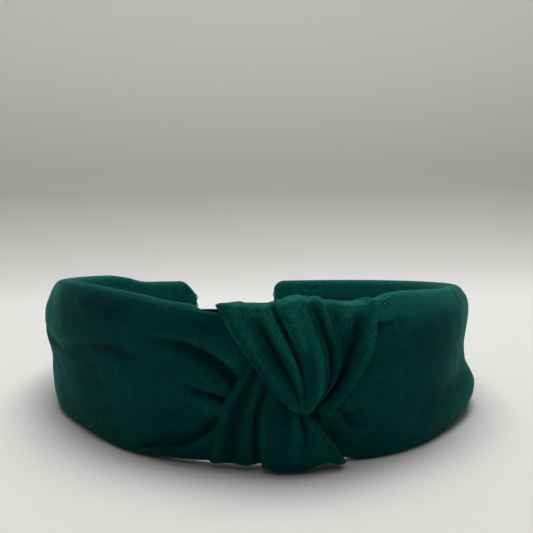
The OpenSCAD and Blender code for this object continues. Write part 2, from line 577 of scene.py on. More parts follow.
@dataclass(frozen=True)
class BrushedCrepe:
    """Fine crepe with a raised face: pebbled weave, short nap and a dusty sheen at its edges, with
    painted shade in its hollows and painted highlight on its crests.
    """

    face: Colour = (0.0004, 0.060, 0.051, 1.0)
    shade: Colour = (0.0003, 0.042, 0.038, 1.0)
    # The nap's lighter colour, which also paints the highlight on crests.
    nap: Colour = (0.011, 0.148, 0.110, 1.0)
    # Painted shade, laid over hollows and creases.
    deep: Colour = (0.0003, 0.011, 0.014, 1.0)
    sheen: Colour = (0.12, 0.82, 0.70, 1.0)
    sheen_weight: float = 0.24
    pebble: float = 0.45

    def make(self, name: str) -> bpy.types.Material:
        """Makes the material.

        Args:
            name: Its name.

        Returns:
            The material.
        """
        book = NodeBook(name)
        where = book.place()
        cloth = book.cloth()
        clouds = book.noise(where, 60.0, 3.0)
        mottle = book.noise(where, 420.0, 3.0, 0.6)
        nap = book.noise(where, 1500.0, 2.0, 0.7)
        pebble = book.noise(cloth, 100.0 / self.pebble, 2.0, 0.6)
        # The relief attribute carries painted light: below a half it paints shade, above a half a
        # highlight.
        fold = book.node("ShaderNodeAttribute", {"attribute_name": "relief"}, {}, "Fac")
        crest = ((fold - 0.5) * 2.0).clamp()
        hollow = ((0.5 - fold) * 2.0).clamp()
        broad = ((clouds - 0.35) * 1.2 + (mottle - 0.5) * 0.5).clamp()
        ground = book.mix(broad, self.shade, self.face)
        # The nap's random grain and mottle, with a painted highlight on the crests, then painted
        # shade over the hollows.
        fibres = ((nap - 0.5) * (1.5 + crest * 1.3) + (mottle - 0.5) * 0.7 + crest * 0.8).clamp()
        colour = book.mix(hollow * 0.8, book.mix(fibres * 0.8, ground, self.nap), self.deep)
        rough = 0.86 + (mottle - 0.5) * 0.12
        height = pebble * 0.6 + nap * 0.4
        return book.close(
            Base_Color=colour,
            Roughness=rough,
            Specular_IOR_Level=0.12,
            Specular_Tint=(0.03, 0.80, 0.68, 1.0),
            Sheen_Weight=self.sheen_weight,
            Sheen_Roughness=0.22,
            Sheen_Tint=self.sheen,
            Normal=book.bump(height, 0.55, 0.12),
        )


@dataclass(frozen=True)
class RibbedRibbon:
    """A lining ribbon with fine ribs across it."""

    light: Colour = (0.001, 0.052, 0.043, 1.0)
    dark: Colour = (0.0005, 0.030, 0.026, 1.0)
    rib: float = 0.7

    def make(self, name: str) -> bpy.types.Material:
        """Makes the material and returns it, under that name."""
        book = NodeBook(name)
        cloth = book.cloth()
        split = book.node("ShaderNodeSeparateXYZ", {}, {"Vector": cloth}, "X")
        ribs = (split * (math.tau * 100.0 / self.rib)).sine() * 0.5 + 0.5
        threads = book.noise(cloth, 60.0, 2.0)
        worn = book.noise(book.place(), 120.0, 2.0)
        # The ribs paint shade in the grooves between them and a highlight on their tops, with
        # random thread and wear tone.
        tone = (ribs * 0.6 + threads * 0.35 + worn * 0.25 - 0.1).clamp()
        return book.close(
            Base_Color=book.mix(tone, self.dark, self.light),
            Roughness=0.72 - ribs * 0.1,
            Specular_IOR_Level=0.2,
            Specular_Tint=(0.3, 0.85, 0.7, 1.0),
            Normal=book.bump(ribs + threads * 0.4, 0.8, 0.12),
        )


@dataclass(frozen=True)
class MouldedPlastic:
    """Satin black plastic with the fine grain of its mould and light scuffs."""

    body: Colour = (0.008, 0.008, 0.009, 1.0)
    scuff: Colour = (0.028, 0.028, 0.030, 1.0)

    def make(self, name: str) -> bpy.types.Material:
        """Makes the material and returns it, under that name."""
        book = NodeBook(name)
        where = book.place()
        grain = book.noise(where, 2600.0, 2.0)
        marks = book.noise(where, 300.0, 5.0, 0.7)
        scuffed = ((marks - 0.56) * 5.0).clamp()
        return book.close(
            Base_Color=book.mix(scuffed * 0.5, self.body, self.scuff),
            Roughness=0.48 + scuffed * 0.2 + grain * 0.08,
            Specular_IOR_Level=0.3,
            Normal=book.bump(grain, 0.35, 0.05),
        )


@dataclass(frozen=True)
class OpenFoam:
    """Thin open-cell foam, off-white and a little yellowed."""

    wall: Colour = (0.62, 0.60, 0.52, 1.0)
    # Painted shade inside the open cells.
    pore: Colour = (0.30, 0.28, 0.22, 1.0)

    def make(self, name: str) -> bpy.types.Material:
        """Makes the material and returns it, under that name."""
        book = NodeBook(name)
        where = book.place()
        sockets = {"Vector": where, "Scale": 1400.0}
        cells = book.node("ShaderNodeTexVoronoi", {"feature": "F1"}, sockets)
        clouds = book.noise(where, 90.0, 3.0)
        # The cells' centres take the painted shade of their pores.
        open_cell = ((cells - 0.25) * 2.4).clamp()
        return book.close(
            Base_Color=book.mix(open_cell * 0.8 + clouds * 0.2, self.pore, self.wall),
            Roughness=0.95,
            Specular_IOR_Level=0.15,
            Normal=book.bump(cells, 0.8, 0.25),
        )


@dataclass(frozen=True)
class SpunThread:
    """Two-ply polyester thread, twisted."""

    light: Colour = (0.003, 0.085, 0.068, 1.0)
    dark: Colour = (0.001, 0.030, 0.026, 1.0)

    def make(self, name: str) -> bpy.types.Material:
        """Makes the material and returns it, under that name."""
        book = NodeBook(name)
        fibres = book.noise(book.place(), 3200.0, 2.0)
        return book.close(
            Base_Color=book.mix((fibres - 0.3) * 2.0, self.dark, self.light),
            Roughness=0.55 + fibres * 0.15,
            Specular_IOR_Level=0.25,
            Specular_Tint=(0.3, 0.9, 0.75, 1.0),
            Normal=book.bump(fibres, 0.5, 0.04),
        )


@dataclass(frozen=True)
class Paper:
    """The plain pale surface that the band lies on, with painted shade that darkens it from near to
    far into the wall, and painted light that lifts the wall higher up.
    """

    colour: Colour = (0.735, 0.73, 0.709, 1.0)
    # The wall's colour is darker as painted shade; high is the wall painted lighter further up.
    wall: Colour = (0.34, 0.338, 0.326, 1.0)
    high: Colour = (0.62, 0.616, 0.596, 1.0)
    near: float = 0.15
    far: float = 0.325

    def make(self, name: str) -> bpy.types.Material:
        """Makes the material and returns it, under that name."""
        book = NodeBook(name)
        where = book.place()
        grain = book.noise(where, 900.0, 3.0)
        back = book.node("ShaderNodeSeparateXYZ", {}, {"Vector": where}, "Y")
        up = book.node("ShaderNodeSeparateXYZ", {}, {"Vector": where}, "Z")
        # Painted shade: the floor darkens into the wall's colour going back and up, and the wall is
        # painted lighter above five centimetres.
        tone = ((back - self.near) / (self.far - self.near) * 0.8 + up * 5.0).clamp()
        wall = book.mix(((up - 0.05) * 8.0).clamp(), self.wall, self.high)
        return book.close(
            Base_Color=book.mix(tone, self.colour, wall),
            Roughness=0.75 + grain * 0.1,
            Specular_IOR_Level=0.25,
        )


# ---------------------------------------------------------------- sleeves


@dataclass(frozen=True)
class Fold:
    """A fold line on a sleeve: a groove, with the cloth standing up beside it."""

    path: tuple[tuple[float, float], ...]
    depth: tuple[float, ...]
    above: float = 1.5
    below: float = 1.5
    crest_above: float = 0.0
    crest_below: float = 0.0

    def height(self, along: Array, z: Array) -> Array:
        """How far the fold moves the cloth outwards.

        Args:
            along: Distances from the crown, as positive numbers.
            z: Heights.

        Returns:
            The move at each place, less than zero in the groove.
        """
        stops = np.linspace(0.0, 1.0, len(self.path))
        fine = np.linspace(0.0, 1.0, 40)
        px = through(stops, [p[0] for p in self.path], fine)
        pz = through(stops, [p[1] for p in self.path], fine)
        depth = through(np.linspace(0.0, 1.0, len(self.depth)), self.depth, fine)
        best = np.full(along.shape, 1e9)
        signed = np.zeros(along.shape)
        deep = np.zeros(along.shape)
        for i in range(len(fine) - 1):
            ax, az = px[i], pz[i]
            dx, dz = px[i + 1] - ax, pz[i + 1] - az
            span = math.hypot(dx, dz) + 1e-9
            t = np.clip(((along - ax) * dx + (z - az) * dz) / span**2, 0.0, 1.0)
            ex, ez = along - ax - t * dx, z - az - t * dz
            distance = np.hypot(ex, ez)
            near = distance < best
            best = np.where(near, distance, best)
            cross = (dx * (z - az) - dz * (along - ax)) / span
            signed = np.where(near, np.where(cross * np.sign(dx) >= 0, distance, -distance), signed)
            deep = np.where(near, depth[i] + t * (depth[i + 1] - depth[i]), deep)
        width = np.where(signed > 0, self.above, self.below)
        r = np.abs(signed) / width
        crest = np.where(signed > 0, self.crest_above, self.crest_below)
        return deep * (-np.exp(-(r**1.6)) + crest * r * np.exp(1.0 - r) * np.exp(-r * 0.25))


@dataclass(frozen=True)
class Puff:
    """A soft swelling of a sleeve, or a hollow where the height is less than zero; also a patch of
    painted highlight, and of painted shade below zero.
    """

    along: float
    z: float
    reach: float
    spread: float
    height: float

    def at(self, along: Array, z: Array) -> Array:
        """How far the cloth moves outwards at each place, and for a patch of painted light, how
        strong it is there.
        """
        along, z = (along - self.along) / self.reach, (z - self.z) / self.spread
        return self.height * np.exp(-(along**2) - z**2)


@dataclass
class Sleeve:
    """The padded cloth round one arm, from under the knot to the closed tip.

    rise is how far the upper edge stands above the strip's, beyond room, lift how far the lower
    edge is raised, and full how far the outer side fills out low down. The strip's edge lies bare
    up to open_from, and the cloth has closed over it by open_to. slant cuts back the tip's upper
    corner.
    """

    hoop: Hoop
    side: Side
    look: bpy.types.Material
    rise_stops: tuple[float, ...]
    rise: tuple[float, ...]
    lift_stops: tuple[float, ...]
    lift: tuple[float, ...]
    full_stops: tuple[float, ...]
    full: tuple[float, ...]
    folds: tuple[Fold, ...]
    puffs: tuple[Puff, ...]
    # Patches of painted highlight, and of painted shade below zero.
    brushed: tuple[Puff, ...]
    start: float = 5.0
    cloth: float = 0.45
    inner: float = -1.5
    outer: float = 5.1
    room: float = 1.9
    open_from: float = 0.0
    open_to: float = 0.0
    slant: float = 0.0
    corner: float = 4.0
    round_top: float = 1.0
    # How much lighter the inner side and lining are painted, as painted light.
    lining_nap: float = 0.5
    seed: int = 1

    def rows(self) -> Array:
        """Places along the strip, closer together beside the knot."""
        end = self.hoop.length + TIP_BEYOND
        near = np.arange(self.start, 46.0, 0.4)
        side = np.arange(46.0, 74.0, 0.9)
        far = np.linspace(74.0, end - 5.0, 92)
        tip = end - 5.0 * (1.0 - np.linspace(0.0, 1.0, 16)[1:]) ** 1.5
        return np.concatenate([near, side, far, tip])

    def edges(self, s: Array) -> tuple[Array, Array]:
        """The heights of the cloth's lowest and highest lines."""
        top = self.hoop.top(s) + self.room + through(self.rise_stops, self.rise, s)
        low = 0.25 + through(self.lift_stops, self.lift, s)
        corner = self.corner
        end = s[-1]
        into = np.clip(s - (end - corner), 0.0, corner)
        cut = corner - np.sqrt(np.maximum(corner**2 - into**2, 0.0))
        return low + cut * 0.8, top - cut

    def body(self, s: Array) -> Array:
        """How far the outer cloth stands off the mid-line."""
        near = smoothstep(9.0, 31.0, s)
        return 2.9 + (self.outer - 2.9) * near

    def section(self, s: Array) -> Array:
        """The cloth's section at each place along the strip.

        Args:
            s: Distances from the crown.

        Returns:
            Rows by points by distance off and height, from the seam inside, round the lower edge
            and back to the seam.
        """
        low, high = self.edges(s)
        out = self.body(s)
        tall = high - low
        mid = (low + high) / 2
        inner = np.full_like(s, self.inner)
        shut = smoothstep(s[-1] - 1.6, s[-1], s) ** 2
        bare = smoothstep(self.open_to, self.open_from, s) if self.open_to > 0 else np.zeros_like(s)
        full = through(self.full_stops, self.full, s)
        strip = self.hoop.top(s)

        def at(off: Array, z: Array, bare_off: float = math.nan, bare_z: float = math.nan) -> Array:
            """A point of the section, moved where the strip's edge lies bare."""
            off = off + np.zeros_like(s)
            z = z + np.zeros_like(s)
            if not math.isnan(bare_off):
                off = off + (bare_off - off) * bare
                z = z + (np.minimum(high, strip) + bare_z - z) * bare
            off = off + (1.7 - off) * shut * 0.97
            return np.stack([off, z], axis=-1)

        points = [
            at(inner, high - 2.3, -1.5, -2.2),
            at(inner - 0.05, mid + 0.26 * tall),
            at(inner - 0.05, mid),
            at(inner - 0.05, mid - 0.26 * tall),
            at(inner, low + 2.4),
            at(inner + 0.8, low + 0.5),
            at((0.30 + 0.15 * full) * out, low),
            at((0.70 + 0.16 * full) * out, low + 1.3 - 0.65 * full),
            at((0.91 + 0.08 * full) * out, low + 4.5 - 1.6 * full),
            at(out, mid - 0.2 * tall),
            at(out, mid + 0.1 * tall),
            at((1.0 - 0.08 * self.round_top) * out, high - 7.0),
            at((0.94 - 0.18 * self.round_top) * out, high - 3.0, 3.4, -3.6),
            at((0.72 - 0.22 * self.round_top) * out, high - 0.6, 3.0, -0.9),
            at((0.28 - 0.06 * self.round_top) * out, high - 0.05, 2.3, -0.5),
            at(inner + 0.65, high - 0.65, 1.7, -1.5),
            at(inner, high - 2.3, 1.5, -3.0),
        ]
        return np.stack(points, axis=1)

    def build(self) -> bpy.types.Object:
        """Makes the sleeve's mesh.

        Returns:
            The piece, with its finish and its place.
        """
        s = self.rows()
        chain = self.section(s)
        spans = (3, 3, 3, 3, 3, 4, 4, 7, 14, 16, 14, 12, 7, 6, 5, 5)
        curve = spline(chain, spans, chain[:, -2], chain[:, 1])
        off, z = curve[..., 0], curve[..., 1]
        along = np.broadcast_to(s[:, None], off.shape)
        low, high = self.edges(s)
        middle = ((low + high) / 2)[:, None]
        tall = (high - low)[:, None]
        from_middle = np.abs(z - middle) / tall
        front = smoothstep(1.4, 3.0, off)
        face = front * (1.0 - smoothstep(0.40, 0.52, from_middle) * 0.7)
        fade = 1.0 - smoothstep(s[-1] - 14.0, s[-1] - 2.0, along)
        move = sum(fold.height(along, z) for fold in self.folds)
        move = move + sum(puff.at(along, z) for puff in self.puffs)
        move = move + 0.28 * ripple(along / 34.0, z / 22.0, self.seed)
        move = move + 0.10 * ripple(along / 11.0, z / 9.0, self.seed + 50)
        inside = 1.0 - smoothstep(-1.2, -0.4, off)
        pucker = ripple(along / 7.0, z / 60.0, self.seed + 90) * smoothstep(0.30, 0.48, from_middle)
        off = off + move * face * fade - 0.12 * pucker * inside * fade
        off = np.where(front > 0, np.maximum(off, np.minimum(2.2, curve[..., 0])), off)
        cut_back = smoothstep(s[-1] - 24.0, s[-1], along) * smoothstep(*CUT_BACK, z)
        along = along - self.slant * cut_back
        points = self.hoop.place(along, off, z)
        points[..., 0] *= self.side.value
        girth = travelled(np.linalg.norm(np.diff(points[0], axis=0), axis=1))
        name = f"{self.side.word}_sleeve_cloth"
        obj = cloth_grid(name, points, s, girth, flip=self.side is Side.LEFT)
        # Patches of painted highlight and painted shade on the outer side; the inner side is
        # painted lighter as a whole.
        nap = sum(patch.at(along, z) for patch in self.brushed)
        nap = nap * smoothstep(-0.5, 1.5, curve[..., 0])
        # Painted shade in the folds' hollows, and painted highlight at less strength on their
        # crests.
        fold_shading = relief(np.where(front > 0, off, curve[..., 0]), 60, True) * face
        mark(obj, np.where(fold_shading > 0, fold_shading * 0.4, fold_shading) + nap + self.lining_nap * (1 - front))
        weld(obj, 0.02)
        thicken(obj, self.cloth)
        finish_piece(obj, self.look)
        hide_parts(f"{self.side.word}_sleeve", f"{self.side.word}_gather")
        self.hoop.bend(obj, self.side)
        return obj

    def pad(self, look: bpy.types.Material) -> bpy.types.Object:
        """Makes the foam pad that fills the sleeve's outer side.

        Args:
            look: The foam's material.

        Returns:
            The piece.
        """
        s = np.linspace(self.hoop.flex + 1.6, self.hoop.length - 2.5, 130)
        low, high = self.hoop.low_edge + 1.2 + 0 * s, self.hoop.top(s) - 1.2
        out = self.body(s) - 0.75
        back = np.full_like(s, 1.35)
        mid, tall = (low + high) / 2, high - low
        end = smoothstep(s[0], s[0] + 3.0, s) * smoothstep(s[-1], s[-1] - 3.0, s)
        out = back + 0.3 + (out - back - 0.3) * (0.25 + 0.75 * end)
        chain = np.stack(
            [
                np.stack([o, h], axis=-1)
                for o, h in (
                    (back, mid),
                    (back, low + 1.0),
                    (back + 0.3, low),
                    (0.45 * back + 0.55 * out, low + 0.7),
                    (0.15 * back + 0.85 * out, low + 3.2),
                    (out, mid - 0.2 * tall),
                    (out, mid + 0.15 * tall),
                    (0.15 * back + 0.85 * out, high - 4.2),
                    (0.45 * back + 0.55 * out, high - 1.1),
                    (back + 0.3, high),
                    (back, high - 1.0),
                    (back, mid),
                )
            ],
            axis=1,
        )
        curve = spline(chain, 6, chain[:, -2], chain[:, 1])
        along = np.broadcast_to(s[:, None], curve.shape[:2])
        points = self.hoop.place(along, curve[..., 0], curve[..., 1])
        points[..., 0] *= self.side.value
        girth = np.arange(points.shape[1], dtype=float)
        name = f"{self.side.word}_foam_pad"
        obj = cloth_grid(name, points, s, girth, flip=self.side is Side.LEFT)
        weld(obj, 0.02)
        cap_ends(obj)
        finish_piece(obj, look)
        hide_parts(f"{self.side.word}_foam")
        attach(obj, f"{self.side.word}_arm")
        return obj


def cap_ends(obj: bpy.types.Object) -> None:
    """Closes the open ends of a tube and turns its faces outwards."""
    work = bmesh.new()
    work.from_mesh(obj.data)
    rim = [edge for edge in work.edges if edge.is_boundary]
    if rim:
        bmesh.ops.holes_fill(work, edges=rim, sides=0)
    bmesh.ops.triangulate(work, faces=[f for f in work.faces if len(f.verts) > 4])
    bmesh.ops.recalc_face_normals(work, faces=work.faces)
    work.to_mesh(obj.data)
    work.free()
    smooth(obj)


# ---------------------------------------------------------------- the knot


# A hem's points: shares of its reach under the cloth and of full width, and how far below the top.
HEM = (
    (1.0, 0.0, 1.8),
    (0.5, 0.0, 1.75),
    (0.0, 0.1, 1.35),
    (0.0, 0.0, 0.85),
    (0.0, 0.25, 0.35),
    (0.0, 0.8, 0.05),
    (0.0, 1.6, -0.05),
)
# A crease's points: shares of full width and of its depth.
CREASE = ((-2.4, 0.0), (-1.3, 0.28), (-0.4, 0.8), (0.0, 1.0), (0.45, 0.85), (1.2, 0.35))
# A step's points: shares of full width, of its reach under the cloth and of its height.
STEP = (
    (0.1, 0.0, -0.02),
    (0.0, 0.8, 0.02),
    (0.0, 1.05, 0.24),
    (0.0, 0.7, 0.45),
    (0.15, 0.0, 0.56),
    (0.0, 0.0, 0.76),
)


@dataclass(frozen=True)
class Line:
    """A line that a loop's cloth follows, from the band's edge to the pinch, at equal steps.

    x is measured round the crown at the knot's own radius, z is the height and h the distance off
    the mid-line. low is the height of the cloth underneath, or the depth of a crease. under is how
    far the cloth is folded back beneath the line, and tuck the distance off at which a hem's inner
    end stops. The last field is a painted highlight along the line, and painted shade where it is
    less than zero.
    """

    turn: Turn
    x: tuple[float, ...]
    z: tuple[float, ...]
    h: tuple[float, ...]
    low: tuple[float, ...] = (0.0, 0.0, 0.0, 0.0, 0.0)
    under: float = 1.5
    tuck: float = 3.3
    brushed: tuple[float, ...] = (0.0, 0.0, 0.0, 0.0, 0.0)

    def stations(self, t: Array, squeeze: Array) -> list[Array]:
        """The points that this line gives each row.

        Args:
            t: Each row's share of the way from the first stop to the last.
            squeeze: Each row's share of full width, small at the pinch.

        Returns:
            One array per point, rows by X, Z and distance off.
        """
        stops = np.linspace(0.0, 1.0, len(self.x))
        x, z, h = (through(stops, v, t) for v in (self.x, self.z, self.h))
        low = through(stops, self.low, t)
        u = self.under * squeeze
        w = squeeze
        d = h - low

        def at(dx: Array, height: Array) -> Array:
            """A point beside the line."""
            return np.stack([x + dx, z, height], axis=-1)

        if self.turn in (Turn.HEM_IN, Turn.HEM_OUT):
            way = 1 if self.turn is Turn.HEM_IN else -1
            tuck = np.minimum(self.tuck, h - 2.2)
            hem = [at(way * 1.9 * u, tuck), at(way * 1.55 * u, (tuck + h - 2.0) / 2)]
            hem += [at(way * (a * u + b * w), h - c) for a, b, c in HEM]
            return hem[::way]
        if self.turn is Turn.CREASE:
            return [at(a * w, h - b * low) for a, b in CREASE]
        if self.turn in (Turn.STEP_UP, Turn.STEP_DOWN):
            way = 1 if self.turn is Turn.STEP_UP else -1
            back = u * np.clip(d / 1.6, 0.15, 1.0)
            step = [at(way * -1.4 * w, low + 0.1)]
            step += [at(way * (a * w + b * back), low + c * d) for a, b, c in STEP]
            step += [at(way * 0.4 * w, h - 0.08 * d), at(way * 1.4 * w, h)]
            return step[::way]
        return [at(0 * w, h)]


@dataclass
class Loop:
    """One loop of the knot: pleated in front, turned over the strip's edge and flat behind it.

    flat and cut are the flat size and area of its cloth, in metres; nothing here reads them. reach
    is the knot's own radius, back the place off of the cloth behind the strip, and tail how far it
    goes on there. lean brings the pleats closer to the strip near its edge.
    """

    hoop: Hoop
    name: str
    node: str
    look: bpy.types.Material
    lines: tuple[Line, ...]
    upwards: bool
    flat: tuple[float, float]
    cut: float
    reach: float = 65.0
    back: float = -2.15
    tail: float = 15.0
    round_over: float = 1.9
    sag: float = 3.4
    cloth: float = 0.4
    pinched: bool = True
    lean: float = 0.0
    per_span: int = 6
    front_rows: int = 92
    # How strongly the pleats' hollows and crests are painted as shade and highlight.
    depth: float = 1.0
    # How much lighter the cloth behind the strip is painted, as painted light.
    back_nap: float = 0.5
    seed: int = 3

    def nap(self, rows: int) -> Array:
        """The painted highlight and shade over the pleated front, rows by points."""
        t = np.linspace(0.0, 1.0, rows)
        stops = []
        for line in self.lines:
            value = through(np.linspace(0.0, 1.0, len(line.brushed)), line.brushed, t)
            stops += [value] * len(line.stations(t, np.ones(rows)))
        chain = np.stack(stops, axis=1)
        place = np.arange((chain.shape[1] - 1) * self.per_span + 1) / self.per_span
        left = np.minimum(place.astype(int), chain.shape[1] - 2)
        share = place - left
        return chain[:, left] * (1.0 - share) + chain[:, left + 1] * share

    def front(self, rows: int) -> Array:
        """The pleated front, rows by points by X, Z and distance off."""
        t = np.linspace(0.0, 1.0, rows)
        if self.pinched:
            squeeze = 1.0 - 0.9 * smoothstep(0.35, 1.0, t)
        else:
            squeeze = 0.35 + 0.65 * smoothstep(0.0, 0.5, t)
        chain = np.stack([p for line in self.lines for p in line.stations(t, squeeze)], axis=1)
        lean = np.clip((chain[..., 2] - 3.5) / 3.0, 0.0, 1.0) * self.lean
        chain[..., 2] -= lean * (1.0 - smoothstep(0.0, 0.42, t))[:, None]
        if self.pinched:
            chain[..., 2] -= (2.4 * smoothstep(0.9, 1.0, t) ** 2)[:, None]
        before, after = 2 * chain[:, 0] - chain[:, 1], 2 * chain[:, -1] - chain[:, -2]
        return spline(chain, self.per_span, before, after)

    def over_edge(self, edge_row: Array, rows: int) -> Array:
        """The cloth from the front's edge row over the strip's edge and along its back.

        Args:
            edge_row: The front's row at the strip's edge.
            rows: How many rows to give the turn.

        Returns:
            Rows by points by X, Z and distance off, starting after the edge row.
        """
        up = 1.0 if self.upwards else -1.0
        x0, z0, h0 = edge_row[:, 0], edge_row[:, 1], edge_row[:, 2]
        made = []
        reach = (h0 - self.back) / 2
        centre = (h0 + self.back) / 2
        nested = np.clip(reach / 4.5, 0.2, 1.0)
        for angle in np.linspace(0.0, math.pi, rows)[1:]:
            ease = (1.0 - math.cos(angle)) / 2
            rise = self.round_over * nested - self.sag * (1.0 - nested)
            z = z0 + up * rise * math.sin(angle) - up * 1.6 * ease
            off = centre + reach * math.cos(angle)
            made.append(np.stack([x0 * (1 - 0.05 * ease), z, off], axis=-1))
        z_end, x_end = made[-1][:, 1], made[-1][:, 0]
        z_mean = float(np.mean(z_end))
        for share in np.linspace(0.0, 1.0, TAIL_ROWS)[1:]:
            z = z_end + (z_mean - z_end) * min(1.0, 3 * share) - up * self.tail * share
            off = np.full_like(z, self.back)
            made.append(np.stack([x_end * (1 - 0.10 * share), z, off], axis=-1))
        return np.stack(made)

    def build(self) -> bpy.types.Object:
        """Makes the loop's mesh.

        Returns:
            The piece, with its finish, its place and its body.
        """
        front = self.front(self.front_rows)
        # Painted highlight and shade along the pleats, carried at less strength over the turn.
        nap = self.nap(self.front_rows)
        edge = 0 if self.upwards else -1
        turned = self.over_edge(front[edge], TURN_ROWS)
        turned_painted_shading = np.repeat(nap[edge][None], len(turned), axis=0) * 0.6
        if self.upwards:
            sheet, nap = np.concatenate([turned[::-1], front]), np.concatenate([turned_painted_shading, nap])
        else:
            sheet, nap = np.concatenate([front, turned]), np.concatenate([nap, turned_painted_shading])
        x, z, off = sheet[..., 0], sheet[..., 1], sheet[..., 2]
        visible = smoothstep(3.0, 5.0, off)
        uneven = 0.16 * ripple(x / 9.0, z / 14.0, self.seed)
        uneven = uneven + 0.07 * ripple(x / 3.5, z / 6.0, self.seed + 9)
        off = off + visible * uneven
        along = self.hoop.crown_r * np.arcsin(np.clip(x / self.reach, -0.95, 0.95))
        points = self.hoop.place(along, off, z)
        step = np.linalg.norm(np.diff(points, axis=0), axis=2).mean(1)
        rows = travelled(step)
        height = sheet[..., 1].mean(1)
        wide = points[np.argmin(np.abs(height - height.max() * 0.8))]
        cols = travelled(np.linalg.norm(np.diff(wide, axis=0), axis=1))
        obj = cloth_grid(self.name, points, rows, cols)
        # Painted shade in the pleats' hollows and painted highlight on their crests; the cloth
        # behind the strip is painted lighter as a whole.
        fold_shading = relief(off, 40) * self.depth
        fold_shading = np.where(fold_shading > 0, fold_shading * 0.6, fold_shading * 1.35)
        mark(obj, (fold_shading + nap) * visible + self.back_nap * (1.0 - visible))
        weld(obj, 0.005)
        thicken(obj, self.cloth)
        finish_piece(obj, self.look)
        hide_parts(self.node)
        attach(obj, "crown")
        return obj


# ---------------------------------------------------------------- lining and thread


@dataclass
class Ribbon:
    """A length of lining ribbon along the inner face."""

    hoop: Hoop
    name: str
    node: str
    look: bpy.types.Material
    start: float
    end: float
    off: float
    width: float = 15.0
    thickness: float = 0.4

    def build(self) -> bpy.types.Object:
        """Makes the ribbon's mesh, with the start and end in order along the strip.

        Returns:
            The piece, with its finish.
        """
        s = np.linspace(self.start, self.end, max(40, int(abs(self.end - self.start) / 1.2)))
        across = np.linspace(-0.5, 0.5, 13)
        middle = (self.hoop.low_edge + self.hoop.top(s)) / 2
        taper = 1.0 - 0.34 * smoothstep(120.0, self.hoop.length, np.abs(s))
        z = middle[:, None] + across[None, :] * self.width * taper[:, None]
        bow = 0.10 * np.cos(np.pi * across)[None, :]
        bow = bow + 0.05 * ripple(s[:, None] / 9.0, across[None, :], 5)
        points = self.hoop.place(s[:, None] + 0 * z, self.off - bow, z)
        obj = cloth_grid(self.name, points, s, across * self.width, flip=True)
        thicken(obj, self.thickness)
        finish_piece(obj, self.look)
        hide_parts(self.node)
        self.width * MM
        round(abs(self.end - self.start) * MM, 4)
        return obj


def thread(path: Array, radius: float) -> tuple[list[Point], list[Face]]:
    """A length of twisted thread along a path.

    Args:
        path: Its points in millimetres.
        radius: Half its thickness.

    Returns:
        The points in metres and the faces of a closed tube.
    """
    sides = 10
    verts: list[Point] = []
    faces: list[Face] = []
    count = len(path)
    for i, point in enumerate(path):
        ahead = Vector(path[min(i + 1, count - 1)] - path[max(i - 1, 0)]).normalized()
        side = ahead.cross(Vector((0.31, 0.22, 0.93))).normalized()
        up = ahead.cross(side).normalized()
        taper = 0.55 if i in (0, count - 1) else 1.0
        for k in range(sides):
            angle = math.tau * k / sides + i * 0.5
            r = radius * taper * (1.0 + 0.18 * math.cos(2 * math.tau * k / sides))
            p = Vector(point) + (side * math.cos(angle) + up * math.sin(angle)) * r
            verts.append(tuple(p * MM))
    for i in range(count - 1):
        for k in range(sides):
            a, b = i * sides + k, i * sides + (k + 1) % sides
            faces.append((a, b, b + sides, a + sides))
    faces.append(tuple(range(sides))[::-1])
    faces.append(tuple(range((count - 1) * sides, count * sides)))
    return verts, faces


def stitch_mesh(name: str, paths: Iterable[Array], radius: float) -> bpy.types.Object:
    """Joins several lengths of thread in one piece.

    Args:
        name: The piece's name.
        paths: The line of each stitch.
        radius: Half the thread's thickness.

    Returns:
        The new object.
    """
    verts: list[Point] = []
    faces: list[Face] = []
    for path in paths:
        v, f = thread(path, radius)
        faces += [tuple(i + len(verts) for i in face) for face in f]
        verts += v
    mesh = bpy.data.meshes.new(name)
    mesh.from_pydata(verts, [], faces)
    obj = bpy.data.objects.new(name, mesh)
    bpy.context.scene.collection.objects.link(obj)
    work = bmesh.new()
    work.from_mesh(mesh)
    bmesh.ops.recalc_face_normals(work, faces=work.faces)
    work.to_mesh(mesh)
    work.free()
    smooth(obj)
    return obj


